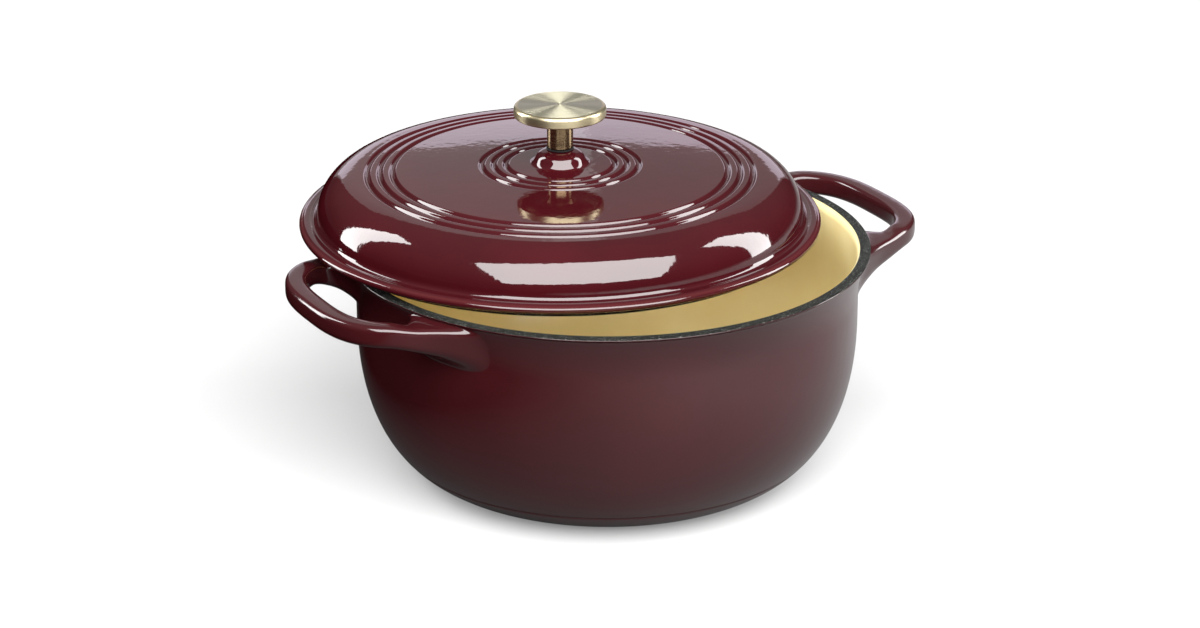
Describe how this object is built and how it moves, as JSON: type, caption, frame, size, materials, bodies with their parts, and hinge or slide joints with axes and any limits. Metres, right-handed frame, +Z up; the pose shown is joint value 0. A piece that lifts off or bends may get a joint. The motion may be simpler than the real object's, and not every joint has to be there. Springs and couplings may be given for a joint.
{
  "type": "cast iron dutch oven",
  "caption": "Round enamelled cast iron dutch oven with two loop handles, its lid set ajar and topped by a brushed brass knob.",
  "frame": {"origin": "centre of the pot's flat base, on the surface it stands on", "axes": "+Z up from the base to the knob, +X along the line through both loop handles, +Y towards the side the lid is pushed to"},
  "size_m": [0.353, 0.3126, 0.1955],
  "materials": {
    "maroon_enamel": "vitreous enamel, satin burgundy outside, cream inside, rough matt black rim band",
    "lid_enamel": "vitreous enamel, glossy burgundy",
    "brushed_brass": "radially brushed antique brass",
    "zinc_steel": "zinc plated",
    "dark_gasket": "matt black"
  },
  "bodies": {
    "pot": {"pot_casting": "maroon_enamel"},
    "lid": {"lid_casting": "lid_enamel", "knob_cap": "brushed_brass", "knob_stem": "brushed_brass", "seat_washer": "dark_gasket", "knob_insert": "zinc_steel", "knob_screw": "zinc_steel", "flat_washer": "zinc_steel", "lock_washer": "zinc_steel"}
  },
  "joints": [
    {"name": "lid_lift", "type": "slide", "parent": "pot", "child": "lid", "axis": [0, 0, 1], "range_m": [0, 0.15]}
  ]
}
